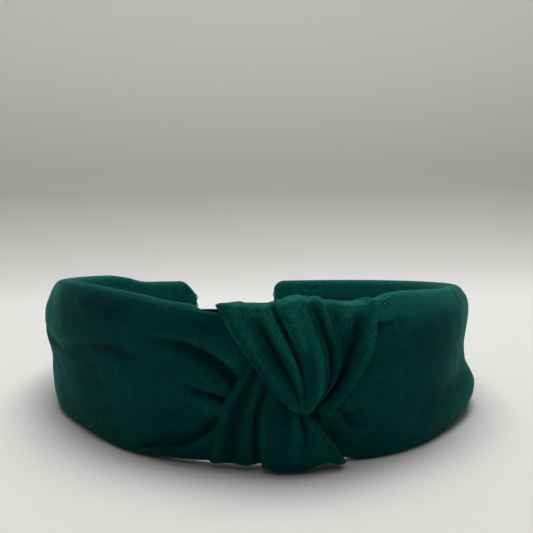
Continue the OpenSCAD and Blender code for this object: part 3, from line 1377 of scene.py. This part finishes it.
@dataclass
class Sewing:
    """The stitches that close the tips and tack the ribbon behind the knot."""

    hoop: Hoop
    look: bpy.types.Material
    radius: float = 0.17
    tip_stitches: int = 5
    tacks: int = 4
    tack_length: float = 3.0

    def tip(self, side: Side, slant: float) -> bpy.types.Object:
        """Whip stitches across a closed tip.

        Args:
            side: Which arm.
            slant: How far the tip's upper corner is cut back.

        Returns:
            The piece.
        """
        end = self.hoop.length + TIP_BEYOND
        top = float(self.hoop.top(np.array(end))) + 1.0
        paths = []
        for i in range(self.tip_stitches):
            share = (i + 0.5) / self.tip_stitches
            z0 = 3.0 + (top - 6.0) * share
            turn = np.linspace(-1.25, 1.25, 15)
            off = 1.75 + 2.3 * np.sin(turn)
            reach = end - 1.1 + 1.55 * np.cos(turn) - slant * float(smoothstep(*CUT_BACK, z0))
            z = z0 + 0.9 * turn
            points = self.hoop.place(reach, off, z)
            points[:, 0] *= side.value
            paths.append(points)
        obj = stitch_mesh(f"{side.word}_tip_whipping", paths, self.radius)
        finish_piece(obj, self.look)
        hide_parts(f"{side.word}_tip_stitches")
        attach(obj, f"{side.word}_arm")
        return obj

    def crown(self, half_width: float, off: float, span: float) -> bpy.types.Object:
        """Tacks over both edges of the ribbon behind the knot.

        Args:
            half_width: Half the ribbon's width.
            off: The ribbon's distance off the mid-line.
            span: Half the length that the tacks cover.

        Returns:
            The piece.
        """
        paths = []
        middle = self.hoop.low_edge + self.hoop.width / 2
        for row in (-1, 1):
            for i in range(self.tacks):
                place = span * (2 * i / (self.tacks - 1) - 1)
                step = np.linspace(-1.0, 1.0, 13)
                lean = 0.5 * step
                z = middle + row * half_width + step * self.tack_length / 2
                rise = off - 0.32 + 0.55 * np.abs(step) ** 3
                paths.append(self.hoop.place(place + lean, rise, z))
        obj = stitch_mesh("crown_tack_thread", paths, self.radius)
        finish_piece(obj, self.look)
        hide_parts("crown_tacks")
        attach(obj, "crown")
        return obj


# ---------------------------------------------------------------- the set


@dataclass
class Studio:
    """The pale sweep, the soft lights and the camera."""

    hoop: Hoop
    lens: float = 67.54
    camera_at: Point = (-45.3, -315.4, 100.4)
    heading: float = 8.19
    pitch: float = 9.785

    def sweep(self, look: bpy.types.Material) -> None:
        """The floor that curves up into a wall behind the band."""
        reach, bend, start = 6000.0, 240.0, 200.0
        profile = [(-reach, 0.0), (-600.0, 0.0), (0.0, 0.0), (start, 0.0)]
        for angle in np.linspace(0.0, math.pi / 2, 28)[1:]:
            profile.append((start + bend * math.sin(angle), bend * (1.0 - math.cos(angle))))
        profile += [(start + bend, 900.0), (start + bend, 3000.0)]
        x = np.linspace(-reach, reach, 9)
        points = np.array([[(px, y, z) for px in x] for y, z in profile])
        obj = cloth_grid("floor", points, np.array([p[0] for p in profile]), x, flip=True)
        smooth(obj)
        obj.data.materials.append(look)

    def lamp(
        self, name: str, at: Sequence[float], towards: Sequence[float], size: float, watts: float
    ) -> None:
        """A soft square light.

        Args:
            name: Its name.
            at: Where it hangs, in metres.
            towards: What it faces.
            size: Its side in metres.
            watts: Its strength.
        """
        data = bpy.data.lights.new(name, "AREA")
        data.shape = "SQUARE"
        data.size = size
        data.energy = watts
        obj = bpy.data.objects.new(name, data)
        obj.location = at
        obj.rotation_mode = "QUATERNION"
        obj.rotation_quaternion = (Vector(towards) - Vector(at)).to_track_quat("-Z", "Y")
        bpy.context.scene.collection.objects.link(obj)

    def camera(self) -> None:
        """The camera, at a seated viewer's height in front of the knot."""
        data = bpy.data.cameras.new("camera")
        data.lens = self.lens
        data.sensor_width = 36.0
        data.clip_start, data.clip_end = 0.01, 20.0
        obj = bpy.data.objects.new("camera", data)
        x, y, z = self.camera_at
        obj.location = (x * MM, (y - self.hoop.shift_y) * MM, z * MM)
        head, down = math.radians(self.heading), math.radians(self.pitch)
        level = math.cos(down)
        view = Vector((math.sin(head) * level, math.cos(head) * level, -math.sin(down)))
        obj.rotation_mode = "QUATERNION"
        obj.rotation_quaternion = view.to_track_quat("-Z", "Y")
        bpy.context.scene.collection.objects.link(obj)
        bpy.context.scene.camera = obj

    def build(self) -> None:
        """Makes the whole set."""
        self.sweep(Paper().make("pale_paper"))
        self.lamp("overhead", (0.06, 0.28, 0.90), (0.0, 0.0, 0.0), 0.75, 11.6)
        self.lamp("ceiling", (-0.15, -0.75, 1.0), (0.0, 0.0, 0.03), 0.8, 1.7)
        world = bpy.data.worlds.new("room")
        world.use_nodes = True
        background = world.node_tree.nodes["Background"]
        background.inputs["Color"].default_value = (0.93, 0.95, 1.0, 1.0)
        background.inputs["Strength"].default_value = 0.10
        bpy.context.scene.world = world
        bpy.context.scene.view_settings.view_transform = "Standard"
        self.camera()


# ---------------------------------------------------------------- the band


@dataclass
class Headband:
    """The whole band, built in order from the hoop outwards."""

    hoop: Hoop

    def left_sleeve(self, look: bpy.types.Material) -> Sleeve:
        """The left sleeve, with its deep folds into the knot."""
        folds = (
            Fold(
                ((112.0, 26.5), (101.0, 25.2), (86.0, 23.4), (72.0, 23.4), (58.0, 22.0)),
                (0.3, 0.9, 0.8, 0.35, 0.0), above=3.4, below=1.5, crest_below=0.4,
            ),
            Fold(
                ((82.0, 25.5), (71.0, 27.0), (60.0, 29.3), (50.0, 30.2), (40.0, 28.5)),
                (0.0, 0.45, 0.55, 0.4, 0.0), above=2.4, below=4.0, crest_above=1.0,
            ),
            Fold(
                (
                    (44.0, 34.2), (36.0, 35.0), (28.8, 34.4), (23.5, 31.9), (20.0, 29.4),
                    (16.8, 26.2), (13.0, 21.6),
                ),
                (0.0, 0.5, 1.2, 2.1, 2.7, 3.0, 3.0), above=1.25, below=2.8, crest_above=0.5,
                crest_below=0.2,
            ),
            Fold(
                (
                    (31.0, 22.9), (27.0, 22.0), (24.1, 21.0), (21.6, 20.2), (18.4, 18.8),
                    (15.0, 17.0),
                ),
                (0.0, 0.7, 1.8, 2.4, 2.7, 2.7), above=1.3, below=1.3, crest_above=0.35,
                crest_below=0.7,
            ),
            Fold(
                ((44.5, 2.2), (39.4, 3.8), (30.4, 5.9), (24.9, 8.6), (20.9, 12.3)),
                (0.2, 0.8, 1.1, 1.5, 1.7), above=1.7, below=0.7, crest_below=0.9,
            ),
        )
        puffs = (
            Puff(100.0, 27.5, 30.0, 6.5, 3.2),
            Puff(100.0, 12.0, 26.0, 9.0, 1.0),
            Puff(62.0, 38.0, 22.0, 6.0, 1.0),
            Puff(36.0, 16.0, 15.0, 9.0, 0.8),
            Puff(24.0, 25.5, 7.0, 3.5, 0.9),
            Puff(27.0, 3.5, 9.0, 3.0, 0.7),
        )
        # Patches of painted highlight, and of painted shade where the height is less than zero.
        brushed = (
            Puff(72.0, 34.0, 34.0, 8.0, -0.5),
            Puff(72.0, 42.3, 40.0, 4.2, -0.75),
            Puff(24.0, 25.5, 9.0, 4.0, -0.5),
            Puff(24.0, 15.5, 10.0, 4.0, -0.3),
            Puff(48.0, 10.0, 32.0, 12.0, -0.35),
            Puff(30.0, 4.0, 9.0, 6.0, -0.75),
            Puff(24.0, 38.0, 9.0, 4.0, -0.35),
            Puff(66.0, 48.2, 45.0, 1.4, 0.9),
            Puff(84.0, 28.0, 15.0, 24.0, 0.6),
            Puff(76.0, 50.0, 14.0, 4.0, 0.6),
            Puff(120.0, 42.0, 24.0, 9.0, 0.8),
            Puff(120.0, 12.0, 22.0, 12.0, 0.5),
        )
        return Sleeve(
            self.hoop, Side.LEFT, look,
            rise_stops=(
                0.0, 20.0, 30.0, 37.0, 43.0, 50.0, 59.0, 69.0, 85.0, 120.0, 150.0, 162.0, 170.0,
                178.0, 190.0, 202.0,
            ),
            rise=(
                -2.5, -2.2, -0.3, 0.6, 1.8, 2.8, 3.8, 4.6, 5.1, 5.0, 4.8, 4.5, 3.4, 1.5, 1.2, 1.0,
            ),
            lift_stops=(0.0, 22.0, 30.0, 38.0, 46.0, 202.0), lift=(1.5, 1.5, 1.3, 0.7, 0.0, 0.0),
            full_stops=(0.0, 30.0, 50.0, 58.0, 68.0, 80.0, 95.0, 202.0),
            full=(1.0, 1.0, 1.0, 0.5, 0.1, 0.4, 0.8, 0.6), folds=folds, puffs=puffs,
            brushed=brushed, open_from=21.0, open_to=29.5, slant=4.2, corner=2.6, round_top=0.25,
            seed=4,
        )

    def right_sleeve(self, look: bpy.types.Material) -> Sleeve:
        """The right sleeve, smooth but for a ledge by the knot and a bulge low on its side."""
        folds = (
            Fold(
                ((17.0, 38.6), (24.0, 39.2), (30.0, 39.4), (42.0, 40.6)), (1.0, 0.7, 0.3, 0.0),
                above=1.2, below=4.5, crest_above=0.6,
            ),
            Fold(
                ((20.0, 9.4), (15.4, 10.4), (12.9, 12.6), (12.0, 15.4), (12.6, 20.4)),
                (0.0, 0.6, 0.7, 0.5, 0.0), above=3.8, below=1.4, crest_below=1.0,
            ),
        )
        puffs = (
            Puff(17.5, 15.5, 5.0, 3.5, -0.3),
            Puff(8.6, 8.5, 4.6, 5.0, -0.8),
            Puff(42.0, 24.0, 20.0, 12.0, 0.6),
            Puff(80.0, 7.0, 25.0, 4.8, 3.3),
            Puff(84.0, 20.0, 26.0, 5.5, -0.4),
            Puff(78.0, 34.0, 26.0, 6.0, 1.0),
        )
        # Patches of painted highlight, and of painted shade where the height is less than zero.
        brushed = (
            Puff(38.0, 42.0, 30.0, 4.5, 1.05),
            Puff(32.0, 28.0, 14.0, 9.0, -0.25),
            Puff(22.0, 6.0, 18.0, 8.0, -0.3),
            Puff(70.0, 24.0, 16.0, 16.0, 0.3),
        )
        return Sleeve(
            self.hoop, Side.RIGHT, look,
            rise_stops=(0.0, 16.0, 22.0, 28.0, 41.0, 53.0, 80.0, 120.0, 202.0),
            rise=(-2.0, -1.6, -0.4, 1.1, 1.3, 1.0, 0.8, 0.4, 0.0),
            lift_stops=(0.0, 13.0, 17.5, 23.0, 202.0),
            lift=(1.4, 1.2, 0.2, 0.0, 0.0),
            full_stops=(0.0, 60.0, 80.0, 202.0),
            full=(1.0, 1.0, 0.7, 0.6),
            folds=folds, puffs=puffs, brushed=brushed, start=3.5, seed=8,
        )

    def upper_loop(self, look: bpy.types.Material) -> Loop:
        """The loop over the upper edge, in pleats that close up at the pinch."""
        # Each line's last numbers paint a highlight along it, and shade where they are less than
        # zero.
        lines = (
            Line(
                Turn.HEM_IN, (-22.9, -18.6, -13.5, -8.0, -0.7), (45.3, 38.3, 31.0, 23.4, 15.9),
                (6.1, 7.0, 7.4, 7.6, 7.6), under=2.4, brushed=(0.4, 0.3, 0.0, -0.1, -0.1),
            ),
            Line(
                Turn.PASS, (-17.4, -14.3, -9.8, -5.2, -0.4), (45.2, 38.3, 31.1, 23.5, 15.7),
                (7.6, 8.5, 8.8, 8.6, 7.9), brushed=(0.7, 0.3, 0.0, -0.1, -0.1),
            ),
            Line(
                Turn.CREASE, (-13.4, -9.8, -5.7, -1.8, 0.4), (44.8, 38.3, 31.1, 23.5, 15.5),
                (7.8, 8.2, 8.3, 8.1, 7.9), low=(0.0, 2.9, 3.0, 2.0, 0.4),
                brushed=(0.5, 0.0, -0.3, -0.3, 0.0),
            ),
            Line(
                Turn.PASS, (-9.0, -5.4, -2.0, 0.0, 0.6), (44.8, 38.4, 31.2, 23.6, 15.4),
                (7.9, 8.8, 8.9, 8.5, 8.0), brushed=(0.6, 0.6, 0.3, 0.1, 0.0),
            ),
            Line(
                Turn.STEP_UP, (-6.4, -3.3, -0.2, 1.2, 0.8), (45.6, 38.7, 31.2, 23.6, 15.3),
                (9.1, 9.1, 8.0, 7.6, 8.0), low=(6.8, 5.9, 6.5, 7.1, 7.7), under=1.6,
                brushed=(0.5, 0.2, -0.2, -0.2, 0.0),
            ),
            Line(
                Turn.PASS, (-3.8, -0.6, 1.4, 2.1, 0.9), (46.3, 39.0, 31.3, 23.6, 15.2),
                (9.6, 9.5, 7.7, 7.3, 8.0), brushed=(1.0, 0.9, 0.3, 0.0, 0.0),
            ),
            Line(
                Turn.PASS, (-0.9, 1.3, 3.0, 3.2, 1.0), (46.8, 39.3, 31.4, 23.6, 15.2),
                (9.5, 9.3, 7.9, 7.6, 8.0), brushed=(0.8, 0.5, 0.1, 0.0, 0.0),
            ),
            Line(
                Turn.PASS, (0.6, 3.0, 5.3, 5.3, 1.1), (46.7, 39.3, 31.4, 23.6, 15.2),
                (9.4, 9.5, 9.3, 8.9, 8.0), brushed=(0.8, 0.7, 0.5, 0.4, 0.0),
            ),
            Line(
                Turn.STEP_DOWN, (2.2, 4.9, 7.2, 6.9, 1.3), (46.4, 39.2, 31.4, 23.6, 15.2),
                (9.0, 9.1, 8.9, 8.5, 7.8), low=(7.2, 6.1, 5.7, 5.6, 6.2), under=1.5,
                brushed=(0.4, -0.1, -0.3, -0.4, -0.3),
            ),
            Line(
                Turn.PASS, (6.2, 8.4, 9.8, 8.2, 1.5), (45.9, 39.0, 31.3, 23.5, 16.0),
                (8.7, 8.1, 7.6, 6.9, 6.4), brushed=(1.0, 0.4, -0.2, -0.4, 0.0),
            ),
            Line(
                Turn.STEP_DOWN, (7.8, 10.2, 11.4, 9.2, 1.7), (45.3, 38.7, 31.2, 23.4, 15.9),
                (8.4, 8.1, 7.6, 6.9, 6.3), low=(7.4, 5.8, 4.3, 4.3, 5.4), under=1.3,
                brushed=(0.5, 0.0, -0.3, -0.5, 0.0),
            ),
            Line(
                Turn.PASS, (13.2, 13.7, 13.1, 10.1, 2.1), (44.6, 38.4, 31.1, 23.3, 15.8),
                (7.8, 5.9, 3.9, 3.9, 5.0), brushed=(1.2, 0.0, -1.0, -1.0, -0.3),
            ),
            Line(
                Turn.PASS, (17.6, 16.8, 14.3, 10.6, 2.7), (44.5, 38.2, 30.9, 23.1, 15.6),
                (7.3, 4.6, 3.7, 3.9, 5.0), brushed=(1.1, -0.4, -1.0, -1.0, -0.3),
            ),
            Line(
                Turn.PASS, (19.8, 18.4, 15.5, 11.3, 3.6), (44.6, 38.0, 30.7, 22.8, 15.3),
                (6.9, 6.9, 6.6, 6.5, 6.0), brushed=(0.8, 0.0, -0.4, -0.6, -0.4),
            ),
            Line(
                Turn.HEM_OUT, (22.6, 21.8, 19.2, 14.1, 6.5), (45.4, 37.8, 30.2, 22.2, 14.1),
                (6.8, 7.9, 8.2, 8.0, 6.9), under=2.2, brushed=(0.7, 0.4, 0.1, -0.1, -0.2),
            ),
        )
        return Loop(
            self.hoop, "knot_upper_cloth", "knot_upper_loop", look, lines, upwards=True,
            flat=(0.066, 0.066), cut=0.0034, lean=1.2, depth=0.6, seed=21,
        )

    def lower_loop(self, look: bpy.types.Material) -> Loop:
        """The loop under the lower edge, that comes out from beneath the upper one."""
        # Each line's last numbers paint shade along it, darker the further they fall below zero.
        lines = (
            Line(
                Turn.HEM_IN, (-12.0, -16.3, -20.2, -23.1, -24.6), (33.0, 26.0, 19.6, 11.3, 2.6),
                (5.3, 5.9, 6.3, 6.4, 6.2), under=2.4, brushed=(-0.3, -0.3, -0.3, -0.3, -0.3),
            ),
            Line(
                Turn.PASS, (-10.4, -13.6, -16.6, -18.8, -19.7), (31.8, 25.2, 18.9, 10.9, 2.7),
                (5.1, 5.4, 5.5, 5.6, 5.7), brushed=(-0.7, -0.9, -0.9, -0.9, -0.8),
            ),
            Line(
                Turn.PASS, (-9.2, -11.7, -13.3, -14.0, -14.0), (30.0, 24.0, 17.9, 10.4, 2.8),
                (5.3, 6.6, 7.2, 7.3, 6.8), brushed=(-0.7, -0.6, -0.5, -0.6, -0.7),
            ),
            Line(
                Turn.STEP_UP, (-7.0, -9.4, -10.6, -10.9, -10.2), (27.0, 21.3, 15.5, 9.2, 2.6),
                (5.4, 7.0, 8.2, 8.7, 8.4), low=(4.6, 5.0, 5.1, 5.2, 5.2), under=1.4,
                brushed=(-0.6, -0.3, -0.1, -0.1, -0.3),
            ),
            Line(
                Turn.PASS, (-4.9, -6.6, -7.6, -7.9, -7.2), (23.4, 19.2, 14.2, 8.3, 2.2),
                (5.5, 7.3, 8.9, 9.5, 9.1), brushed=(-0.6, -0.6, -0.6, -0.6, -0.7),
            ),
            Line(
                Turn.PASS, (-2.6, -3.5, -4.0, -4.6, -4.7), (20.0, 16.8, 12.6, 7.7, 1.9),
                (5.4, 7.3, 8.9, 9.6, 9.2), brushed=(-0.6, -0.5, -0.3, -0.4, -0.6),
            ),
            Line(
                Turn.PASS, (-0.9, -1.0, -0.9, -1.7, -3.0), (17.6, 14.2, 10.9, 7.2, 1.9),
                (5.8, 8.5, 10.0, 10.2, 9.3), brushed=(-0.2, 0.0, 0.0, -0.2, -0.5),
            ),
            Line(
                Turn.PASS, (0.1, 0.4, 0.8, 1.1, 1.0), (17.1, 13.8, 10.6, 7.0, 2.1),
                (5.1, 6.8, 8.7, 9.7, 9.2), brushed=(-0.5, -0.4, -0.3, -0.3, -0.4),
            ),
            Line(
                Turn.PASS, (1.0, 2.8, 4.5, 6.2, 7.4), (16.7, 13.5, 10.0, 6.5, 3.6),
                (5.6, 8.3, 9.4, 9.6, 9.0), brushed=(-0.2, -0.1, -0.1, -0.2, -0.2),
            ),
            Line(
                Turn.HEM_OUT, (1.8, 5.0, 8.0, 10.6, 12.8), (16.2, 13.1, 9.3, 5.5, 2.4),
                (5.7, 7.6, 8.2, 8.4, 8.0), under=2.2,
            ),
        )
        return Loop(
            self.hoop, "knot_lower_cloth", "knot_lower_loop", look, lines, upwards=False,
            flat=(0.058, 0.060), cut=0.0026, pinched=False, round_over=1.5, depth=0.55, seed=33,
        )

    def build(self) -> None:
        """Makes and dresses every piece, and reports each one."""
        crepe = BrushedCrepe().make("brushed_crepe")
        ribbon = RibbedRibbon().make("ribbed_ribbon")
        plastic = MouldedPlastic().make("moulded_plastic")
        foam = OpenFoam().make("open_foam")
        twist = SpunThread().make("spun_thread")
        for node in ("crown_core", "left_core", "right_core"):
            frame["nodes"][node].data.materials.clear()
            frame["nodes"][node].data.materials.append(plastic)
        for sleeve in (self.left_sleeve(crepe), self.right_sleeve(crepe)):
            self.report(sleeve.pad(foam))
            self.report(sleeve.build())
            side = sleeve.side
            lining = Ribbon(self.hoop, f"{side.word}_lining_ribbon", f"{side.word}_lining", ribbon,
                            side.value * 24.0, side.value * (self.hoop.length - 4.0), -2.1)
            piece = lining.build()
            self.hoop.bend(piece, side)
            self.report(piece)
            self.report(Sewing(self.hoop, twist).tip(side, sleeve.slant))
        self.report(self.upper_loop(crepe).build())
        self.report(self.lower_loop(crepe).build())
        cover = Ribbon(self.hoop, "crown_lining_ribbon", "crown_lining", ribbon, -28.0, 28.0, -2.85)
        piece = cover.build()
        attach(piece, "crown")
        self.report(piece)
        self.report(Sewing(self.hoop, twist).crown(7.5, -3.05, 13.5))

    @staticmethod
    def report(obj: bpy.types.Object) -> None:
        """Logs a piece's name and size."""
        size = [round(v / MM, 1) for v in obj.dimensions]
        LOG.info("%s: %d faces, %s mm", obj.name, len(obj.data.polygons), size)


def main() -> None:
    """Builds the band and its set."""
    logging.basicConfig(level=logging.INFO, format="%(name)s %(message)s")
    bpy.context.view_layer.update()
    hoop = Hoop()
    Studio(hoop).build()
    Headband(hoop).build()


if __name__ == "__main__":
    main()
